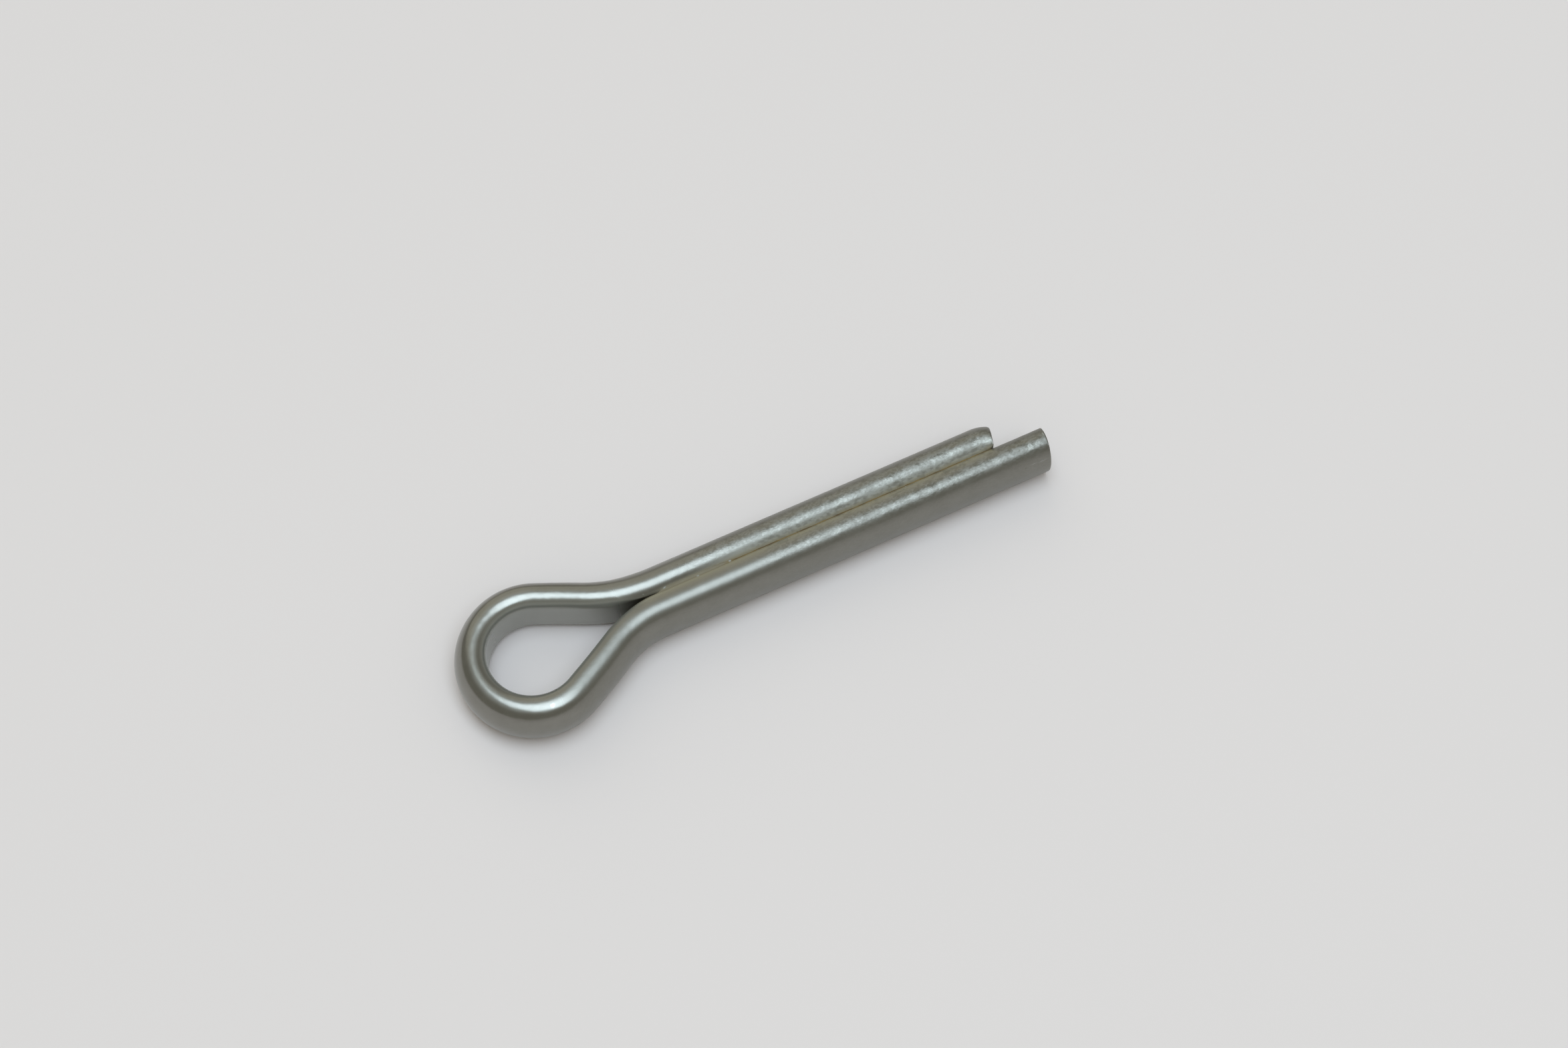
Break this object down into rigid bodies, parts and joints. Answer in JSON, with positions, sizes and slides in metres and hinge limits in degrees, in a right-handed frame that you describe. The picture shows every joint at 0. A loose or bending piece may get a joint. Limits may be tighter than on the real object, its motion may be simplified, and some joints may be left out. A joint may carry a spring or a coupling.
{
  "type": "cotter pin",
  "caption": "Split pin folded from half-round wire: a teardrop eye and straight prongs that lie flat to flat, passed through a drilled hole and bent open to hold it.",
  "frame": {"origin": "on the shank's axis, in the middle plane of the wire, where both prongs have come together and run straight", "axes": "+X along the shank towards the tips, +Z square to the plane of the eye, +Y towards the short prong"},
  "size_m": [0.0282, 0.007, 0.0028],
  "materials": {
    "zinc_steel": "satin zinc grey, smooth round the eye, mottled and lightly scratched along the prongs"
  },
  "bodies": {
    "root": {"cotter_pin": "zinc_steel"}
  },
  "joints": []
}
